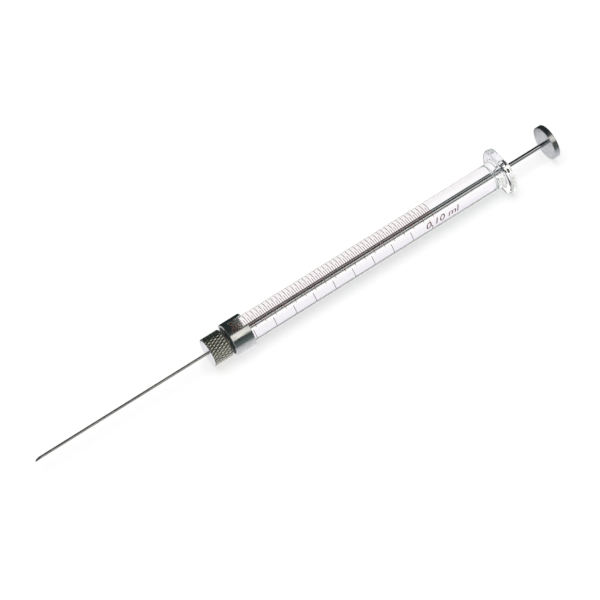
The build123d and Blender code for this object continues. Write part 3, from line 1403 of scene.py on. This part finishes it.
@dataclass
class Studio:
    """Pale floor, soft light and camera, in metres and degrees."""

    camera_place: Vector = Vector((-0.13686, -0.31989, 0.47745))
    camera_target: Vector = Vector((0.00020, 0.00115, 0.00180))
    camera_roll: float = -12.92
    lens: float = 140.57
    floor_drop: float = 0.00002
    floor_reach: float = 3.0
    floor_shade: float = 0.48
    floor_glow: float = 0.63
    lit_front: Point = (-0.03, -0.006)
    lit_back: Point = (0.007, 0.011)
    see_through: Point = (-0.002, 0.006)
    near_white: str = "fdfdfe"
    warm_white: str = "fffcf8"
    far_white: str = "e8e4eb"
    edge_grey: str = "8e9295"
    edge_from: Point = (0.012, 0.045)
    rod_side: Point = (0.02, 0.45)
    rod_back: Point = (0.006, 0.014)
    clear: str = "b9c7c4"
    dark: str = "2b3533"
    low_dark: str = "66736f"
    # brightens the painted view through glass
    through_gain: float = 1.16
    panel: Point = (-0.2, -0.02)
    panel_top: Point = (0.2, 0.6)
    panel_shade: str = "e4e6ea"
    fill: float = 0.35
    rod_fade: float = 0.04
    overhead: Point = (0.0, 0.4)
    behind: Point = (-0.2, 0.2)
    horizon: Point = (0.0, 0.2)
    light_paths: int = 24

    def floor(self) -> None:
        """A pale floor that shines white by itself but still takes the shadow; to reflection and transmission
        rays it shows painted reflections instead.
        """
        shape = bmesh.new()
        bmesh.ops.create_circle(shape, cap_ends=True, segments=96, radius=self.floor_reach)
        mesh = meshed(shape, "floor")
        mesh.transform(Matrix.Translation((0.0, 0.0, -self.floor_drop)))
        material = bpy.data.materials.new("white_sweep")
        sheet = Sheet.fresh(material)
        path = sheet.node("ShaderNodeLightPath").outputs
        strength = sheet.calc("MULTIPLY", path["Is Camera Ray"], self.floor_glow)
        glow = sheet.out("ShaderNodeEmission", {"Strength": strength})
        paint = sheet.out("ShaderNodeBsdfDiffuse", {"Color": grey(self.floor_shade)})
        both = sheet.out("ShaderNodeAddShader", {0: glow, 1: paint})
        # painted reflection: metal sees a white band across the floor and dark beyond it
        depth = sheet.split(sheet.here())[1]
        near, far = sheet.ramp(depth, *self.lit_front), sheet.ramp(depth, *self.lit_back, 1.0, 0.0)
        beyond = sheet.fade(depth, self.see_through, srgb(self.low_dark), srgb(self.dark))
        mirrored = sheet.tint(sheet.calc("MULTIPLY", near, far), beyond, srgb(self.near_white))
        # painted view through glass: warm white near the front, lavender further back and grey at the far
        # edge
        through = sheet.fade(depth, self.see_through, srgb(self.warm_white), srgb(self.far_white))
        through = sheet.fade(depth, self.edge_from, through, srgb(self.edge_grey))
        heading = sheet.split(sheet.node("ShaderNodeNewGeometry").outputs["Incoming"])[0]
        # painted shade: rays that the rod turned see low_dark, which darkens the rod's image in the glass
        off_rod = self.off_rod(sheet, sheet.calc("MULTIPLY", heading, -1.0))
        turned = sheet.calc("MULTIPLY", off_rod, sheet.ramp(depth, *self.rod_back))
        through = sheet.tint(turned, through, srgb(self.low_dark))
        colour = sheet.tint(path["Is Transmission Ray"], mirrored, through)
        # painted light: the view through glass is brighter than the floor itself
        gain = sheet.blend(path["Is Transmission Ray"], 1.0, self.through_gain)
        card = sheet.out("ShaderNodeEmission", {"Color": colour, "Strength": gain})
        bent = sheet.calc("MAXIMUM", path["Is Glossy Ray"], path["Is Transmission Ray"])
        surface = sheet.out("ShaderNodeMixShader", {0: bent, 1: both, 2: card})
        sheet.node("ShaderNodeOutputMaterial", {"Surface": surface})
        mesh.materials.append(material)
        placed("floor", mesh)

    def off_rod(self, sheet: Sheet, across: Socket) -> Socket:
        """One for a ray that came out of the glass after the rod had turned it; it marks where shade is
        painted on the rod's image.

        Args:
            sheet: the node tree.
            across: X of the ray's direction.

        Returns:
            A number between zero and one.
        """
        start, end = self.rod_side
        rising = sheet.ramp(across, start, start + self.rod_fade)
        falling = sheet.ramp(across, end - self.rod_fade, end, 1.0, 0.0)
        turned = sheet.calc("GREATER_THAN", sheet.node("ShaderNodeLightPath").outputs["Glossy Depth"], 0.5)
        return sheet.calc("MULTIPLY", sheet.calc("MULTIPLY", rising, falling), turned)

    def world(self) -> None:
        """White behind the part and low down through glass, dark overhead in reflections, soft fill."""
        world = bpy.data.worlds.new("studio")
        bpy.context.scene.world = world
        sheet = Sheet.fresh(world)
        path = sheet.node("ShaderNodeLightPath").outputs
        across, depth, height = sheet.split(sheet.here("Generated"))
        high, back = sheet.ramp(height, *self.overhead), sheet.ramp(depth, *self.behind)
        dark = sheet.tint(sheet.calc("MAXIMUM", high, back), srgb(self.low_dark), srgb(self.dark))
        clear = sheet.calc("MAXIMUM", sheet.ramp(across, *self.panel), sheet.ramp(height, *self.panel_top))
        side = sheet.tint(clear, srgb(self.panel_shade), dark)
        colour = sheet.tint(path["Is Glossy Ray"], grey(self.fill), side)
        # painted view through glass: grey near the horizon and a teal grey beside the rod's range, shown in
        # the tube and the flange
        rod_end = self.rod_side[1]
        beside = sheet.fade(across, (rod_end - self.rod_fade, rod_end), dark, srgb(self.clear))
        beside = sheet.fade(across, self.panel, srgb(self.clear), beside)
        through = sheet.fade(height, self.horizon, srgb(self.edge_grey), beside)
        # painted shade: rays that the rod turned see the dark side colour, which darkens the rod's image in
        # the glass
        through = sheet.tint(self.off_rod(sheet, across), through, side)
        colour = sheet.tint(path["Is Transmission Ray"], colour, through)
        colour = sheet.tint(path["Is Camera Ray"], colour, grey(1.0))
        sky = sheet.out("ShaderNodeBackground", {"Color": colour})
        sheet.node("ShaderNodeOutputWorld", {"Surface": sky})

    def lamp(self, name: str, place: Vector, size: Point, power: float, code: str, reflected: bool) -> None:
        """A soft box that faces the part.

        Args:
            name: the lamp's name.
            place: its centre.
            size: its width and height.
            power: its power in watts.
            code: its colour.
            reflected: whether it is there for reflections alone, or for light and shadow alone.
        """
        light = bpy.data.lights.new(name, "AREA")
        light.shape = "RECTANGLE"
        light.size, light.size_y = size
        light.energy = power
        light.color = srgb(code)[:3]
        lamp = placed(name, light)
        lamp.location = place
        lamp.rotation_euler = (-place).to_track_quat("-Z", "Y").to_euler()
        lamp.visible_glossy = reflected
        lamp.visible_transmission = reflected
        lamp.visible_diffuse = not reflected

    def camera(self) -> None:
        """The camera, above and in front of the needle's end."""
        data = bpy.data.cameras.new("camera")
        data.lens = self.lens
        data.sensor_width = 36.0
        data.sensor_fit = "HORIZONTAL"
        data.clip_start = 0.01
        data.clip_end = 20.0
        camera = placed("camera", data)
        aim = (self.camera_target - self.camera_place).to_track_quat("-Z", "Y")
        roll = Quaternion((0.0, 0.0, 1.0), math.radians(self.camera_roll))
        camera.location = self.camera_place
        camera.rotation_euler = (aim @ roll).to_euler()
        bpy.context.scene.camera = camera

    def build(self) -> None:
        """Set the floor, the lights and the camera, with enough bounces to leave the thick flange."""
        self.floor()
        self.world()
        self.lamp("key_box", Vector((0.21, -0.46, 0.62)), (0.9, 0.5), 1.75, "fffaf0", True)
        self.lamp("top_box", Vector((0.0, 0.0, 0.9)), (0.7, 0.7), 4.8, "ffffff", False)
        self.camera()
        scene = bpy.context.scene
        scene.view_settings.view_transform = "Standard"
        for limit in ("max_bounces", "glossy_bounces", "transmission_bounces"):
            setattr(scene.cycles, limit, self.light_paths)


def main() -> None:
    """Build the syringe piece by piece, then the studio."""
    logging.basicConfig(level=logging.INFO, format="%(message)s")
    for part in (GlassTube(), PrintedScale(), Ferrule(), KnurledNut(), Needle(), Plunger(), Studio()):
        LOG.info("building %s", type(part).__name__)
        part.build()


if __name__ == "__main__":
    main()
